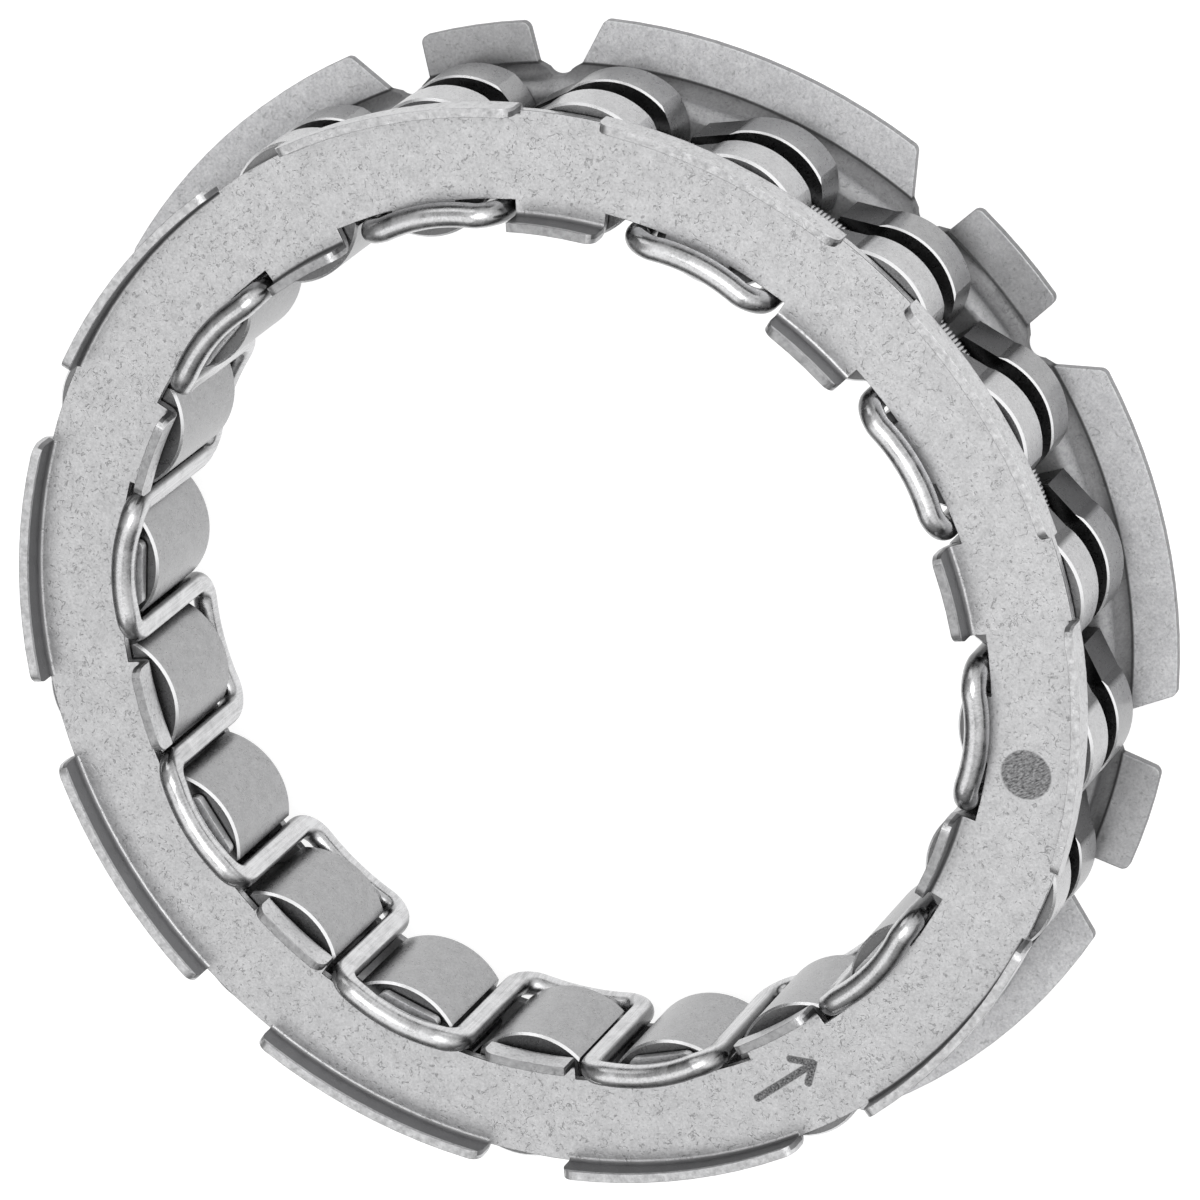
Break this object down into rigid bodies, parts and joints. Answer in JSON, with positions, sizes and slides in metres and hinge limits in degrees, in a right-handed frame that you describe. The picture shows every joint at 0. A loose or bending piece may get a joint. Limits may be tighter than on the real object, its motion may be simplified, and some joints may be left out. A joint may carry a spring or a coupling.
{
  "type": "sprag clutch",
  "caption": "Steel sprag clutch: a ring of tilting sprags held between two stamped plates by a lacing wire and a coiled ring spring, with a tabbed rear flange.",
  "frame": {"origin": "on the clutch axis, in the rear face of the flange tabs, which is what the clutch lies on", "axes": "+Z along the clutch axis towards the front plate, +X through the middle of one outer lip"},
  "size_m": [0.0778, 0.078, 0.0134],
  "materials": {
    "front_plate": "tumbled",
    "rear_flange": "smooth",
    "wire": "bright drawn",
    "spring": "drawn",
    "sprag": "satin"
  },
  "bodies": {
    "cage": {"front_plate": "front_plate", "rear_flange": "rear_flange", "retainer_wire": "wire", "garter_spring": "spring"},
    "sprag_01": {"sprag_01": "sprag"},
    "sprag_02": {"sprag_02": "sprag"},
    "sprag_03": {"sprag_03": "sprag"},
    "sprag_04": {"sprag_04": "sprag"},
    "sprag_05": {"sprag_05": "sprag"},
    "sprag_06": {"sprag_06": "sprag"},
    "sprag_07": {"sprag_07": "sprag"},
    "sprag_08": {"sprag_08": "sprag"},
    "sprag_09": {"sprag_09": "sprag"},
    "sprag_10": {"sprag_10": "sprag"},
    "sprag_11": {"sprag_11": "sprag"},
    "sprag_12": {"sprag_12": "sprag"},
    "sprag_13": {"sprag_13": "sprag"},
    "sprag_14": {"sprag_14": "sprag"},
    "sprag_15": {"sprag_15": "sprag"},
    "sprag_16": {"sprag_16": "sprag"},
    "sprag_17": {"sprag_17": "sprag"},
    "sprag_18": {"sprag_18": "sprag"},
    "sprag_19": {"sprag_19": "sprag"},
    "sprag_20": {"sprag_20": "sprag"}
  },
  "joints": [
    {"name": "sprag_01_tilt", "type": "hinge", "parent": "cage", "child": "sprag_01", "pos_m": [0.0326, 0, 0.0067], "axis": [0, 0, 1], "range_deg": [-2, 3], "stiffness_Nm_per_rad": 0.02},
    {"name": "sprag_02_tilt", "type": "hinge", "parent": "cage", "child": "sprag_02", "pos_m": [0.031, 0.01007, 0.0067], "axis": [0, 0, 1], "range_deg": [-2, 3], "stiffness_Nm_per_rad": 0.02},
    {"name": "sprag_03_tilt", "type": "hinge", "parent": "cage", "child": "sprag_03", "pos_m": [0.02637, 0.01916, 0.0067], "axis": [0, 0, 1], "range_deg": [-2, 3], "stiffness_Nm_per_rad": 0.02},
    {"name": "sprag_04_tilt", "type": "hinge", "parent": "cage", "child": "sprag_04", "pos_m": [0.01916, 0.02637, 0.0067], "axis": [0, 0, 1], "range_deg": [-2, 3], "stiffness_Nm_per_rad": 0.02},
    {"name": "sprag_05_tilt", "type": "hinge", "parent": "cage", "child": "sprag_05", "pos_m": [0.01007, 0.031, 0.0067], "axis": [0, 0, 1], "range_deg": [-2, 3], "stiffness_Nm_per_rad": 0.02},
    {"name": "sprag_06_tilt", "type": "hinge", "parent": "cage", "child": "sprag_06", "pos_m": [0, 0.0326, 0.0067], "axis": [0, 0, 1], "range_deg": [-2, 3], "stiffness_Nm_per_rad": 0.02},
    {"name": "sprag_07_tilt", "type": "hinge", "parent": "cage", "child": "sprag_07", "pos_m": [-0.01007, 0.031, 0.0067], "axis": [0, 0, 1], "range_deg": [-2, 3], "stiffness_Nm_per_rad": 0.02},
    {"name": "sprag_08_tilt", "type": "hinge", "parent": "cage", "child": "sprag_08", "pos_m": [-0.01916, 0.02637, 0.0067], "axis": [0, 0, 1], "range_deg": [-2, 3], "stiffness_Nm_per_rad": 0.02},
    {"name": "sprag_09_tilt", "type": "hinge", "parent": "cage", "child": "sprag_09", "pos_m": [-0.02637, 0.01916, 0.0067], "axis": [0, 0, 1], "range_deg": [-2, 3], "stiffness_Nm_per_rad": 0.02},
    {"name": "sprag_10_tilt", "type": "hinge", "parent": "cage", "child": "sprag_10", "pos_m": [-0.031, 0.01007, 0.0067], "axis": [0, 0, 1], "range_deg": [-2, 3], "stiffness_Nm_per_rad": 0.02},
    {"name": "sprag_11_tilt", "type": "hinge", "parent": "cage", "child": "sprag_11", "pos_m": [-0.0326, 0, 0.0067], "axis": [0, 0, 1], "range_deg": [-2, 3], "stiffness_Nm_per_rad": 0.02},
    {"name": "sprag_12_tilt", "type": "hinge", "parent": "cage", "child": "sprag_12", "pos_m": [-0.031, -0.01007, 0.0067], "axis": [0, 0, 1], "range_deg": [-2, 3], "stiffness_Nm_per_rad": 0.02},
    {"name": "sprag_13_tilt", "type": "hinge", "parent": "cage", "child": "sprag_13", "pos_m": [-0.02637, -0.01916, 0.0067], "axis": [0, 0, 1], "range_deg": [-2, 3], "stiffness_Nm_per_rad": 0.02},
    {"name": "sprag_14_tilt", "type": "hinge", "parent": "cage", "child": "sprag_14", "pos_m": [-0.01916, -0.02637, 0.0067], "axis": [0, 0, 1], "range_deg": [-2, 3], "stiffness_Nm_per_rad": 0.02},
    {"name": "sprag_15_tilt", "type": "hinge", "parent": "cage", "child": "sprag_15", "pos_m": [-0.01007, -0.031, 0.0067], "axis": [0, 0, 1], "range_deg": [-2, 3], "stiffness_Nm_per_rad": 0.02},
    {"name": "sprag_16_tilt", "type": "hinge", "parent": "cage", "child": "sprag_16", "pos_m": [0, -0.0326, 0.0067], "axis": [0, 0, 1], "range_deg": [-2, 3], "stiffness_Nm_per_rad": 0.02},
    {"name": "sprag_17_tilt", "type": "hinge", "parent": "cage", "child": "sprag_17", "pos_m": [0.01007, -0.031, 0.0067], "axis": [0, 0, 1], "range_deg": [-2, 3], "stiffness_Nm_per_rad": 0.02},
    {"name": "sprag_18_tilt", "type": "hinge", "parent": "cage", "child": "sprag_18", "pos_m": [0.01916, -0.02637, 0.0067], "axis": [0, 0, 1], "range_deg": [-2, 3], "stiffness_Nm_per_rad": 0.02},
    {"name": "sprag_19_tilt", "type": "hinge", "parent": "cage", "child": "sprag_19", "pos_m": [0.02637, -0.01916, 0.0067], "axis": [0, 0, 1], "range_deg": [-2, 3], "stiffness_Nm_per_rad": 0.02},
    {"name": "sprag_20_tilt", "type": "hinge", "parent": "cage", "child": "sprag_20", "pos_m": [0.031, -0.01007, 0.0067], "axis": [0, 0, 1], "range_deg": [-2, 3], "stiffness_Nm_per_rad": 0.02}
  ],
  "couplings": [
    {"joint": "sprag_02_tilt", "follows": "sprag_01_tilt", "ratio": 1},
    {"joint": "sprag_03_tilt", "follows": "sprag_01_tilt", "ratio": 1},
    {"joint": "sprag_04_tilt", "follows": "sprag_01_tilt", "ratio": 1},
    {"joint": "sprag_05_tilt", "follows": "sprag_01_tilt", "ratio": 1},
    {"joint": "sprag_06_tilt", "follows": "sprag_01_tilt", "ratio": 1},
    {"joint": "sprag_07_tilt", "follows": "sprag_01_tilt", "ratio": 1},
    {"joint": "sprag_08_tilt", "follows": "sprag_01_tilt", "ratio": 1},
    {"joint": "sprag_09_tilt", "follows": "sprag_01_tilt", "ratio": 1},
    {"joint": "sprag_10_tilt", "follows": "sprag_01_tilt", "ratio": 1},
    {"joint": "sprag_11_tilt", "follows": "sprag_01_tilt", "ratio": 1},
    {"joint": "sprag_12_tilt", "follows": "sprag_01_tilt", "ratio": 1},
    {"joint": "sprag_13_tilt", "follows": "sprag_01_tilt", "ratio": 1},
    {"joint": "sprag_14_tilt", "follows": "sprag_01_tilt", "ratio": 1},
    {"joint": "sprag_15_tilt", "follows": "sprag_01_tilt", "ratio": 1},
    {"joint": "sprag_16_tilt", "follows": "sprag_01_tilt", "ratio": 1},
    {"joint": "sprag_17_tilt", "follows": "sprag_01_tilt", "ratio": 1},
    {"joint": "sprag_18_tilt", "follows": "sprag_01_tilt", "ratio": 1},
    {"joint": "sprag_19_tilt", "follows": "sprag_01_tilt", "ratio": 1},
    {"joint": "sprag_20_tilt", "follows": "sprag_01_tilt", "ratio": 1}
  ]
}
